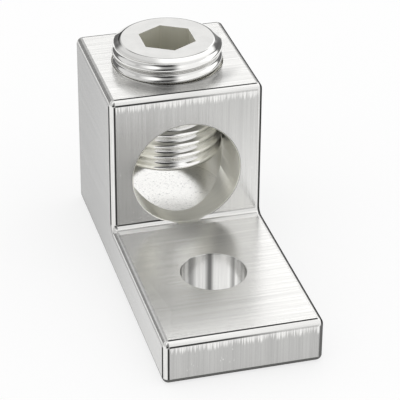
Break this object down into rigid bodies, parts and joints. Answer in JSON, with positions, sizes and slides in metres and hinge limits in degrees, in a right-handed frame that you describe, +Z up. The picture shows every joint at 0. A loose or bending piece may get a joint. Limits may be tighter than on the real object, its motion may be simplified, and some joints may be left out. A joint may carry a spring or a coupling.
{
  "type": "aluminium cable lug",
  "caption": "Aluminium cable lug: a block with a through bore for the conductor and a threaded clamping screw, on a flat tongue with a stud hole.",
  "frame": {"origin": "centre of the stud hole on the base face", "axes": "+Z up through the stud hole and away from the base face, +Y along the lug from the tongue to where the conductor enters, +X across the width"},
  "size_m": [0.024, 0.0556, 0.033],
  "materials": {
    "lug_body": "bright tin plate over aluminium, with fine drawn grain",
    "clamp_screw": "bright tin plate over turned aluminium"
  },
  "bodies": {
    "lug": {"lug_body": "lug_body"},
    "screw": {"clamp_screw": "clamp_screw"}
  },
  "joints": [
    {"name": "screw_travel", "type": "slide", "parent": "lug", "child": "screw", "axis": [0, 0, 1], "range_m": [-0.0077, 0.0098]}
  ]
}
